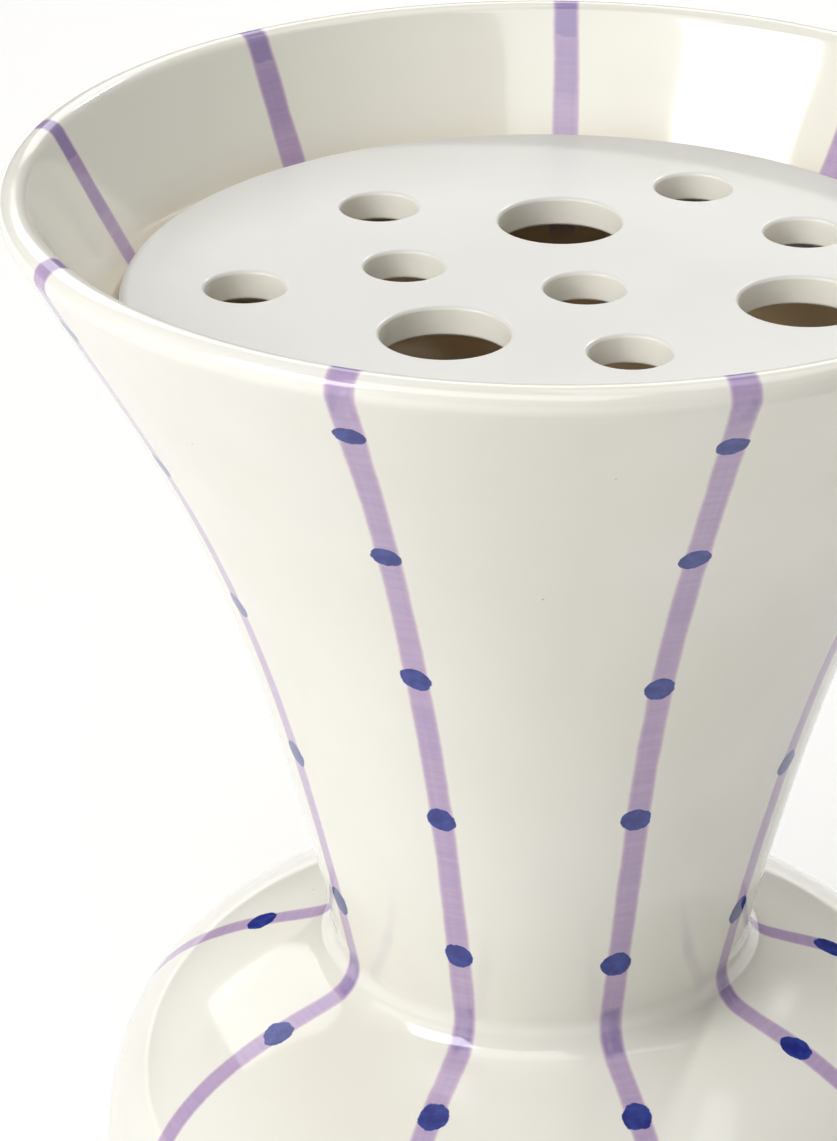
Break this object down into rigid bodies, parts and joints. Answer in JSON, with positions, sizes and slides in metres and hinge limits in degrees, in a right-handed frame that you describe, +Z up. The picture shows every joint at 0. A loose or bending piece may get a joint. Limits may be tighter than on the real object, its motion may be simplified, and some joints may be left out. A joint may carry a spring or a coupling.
{
  "type": "vase with flower frog",
  "caption": "Glazed vase with a wide trumpet mouth, narrow neck and round bulb; a loose pierced disc, the flower frog, rests inside the mouth and holds the stems upright.",
  "frame": {"origin": "centre of the foot ring's underside, on the surface that the vase stands on", "axes": "+Z up along the vase's axis of revolution; -Y faces the viewer"},
  "size_m": [0.15, 0.15, 0.207],
  "materials": {
    "vase_glaze": "glossy warm off-white glaze with hand-painted lilac stripes and blue dots",
    "frog_glaze": "plain off-white satin-gloss glaze"
  },
  "bodies": {
    "vase": {"vase_body": "vase_glaze"},
    "frog": {"frog_disc": "frog_glaze"}
  },
  "joints": [
    {"name": "frog_lift", "type": "slide", "parent": "vase", "child": "frog", "axis": [0, 0, 1], "range_m": [0, 0.06]}
  ]
}
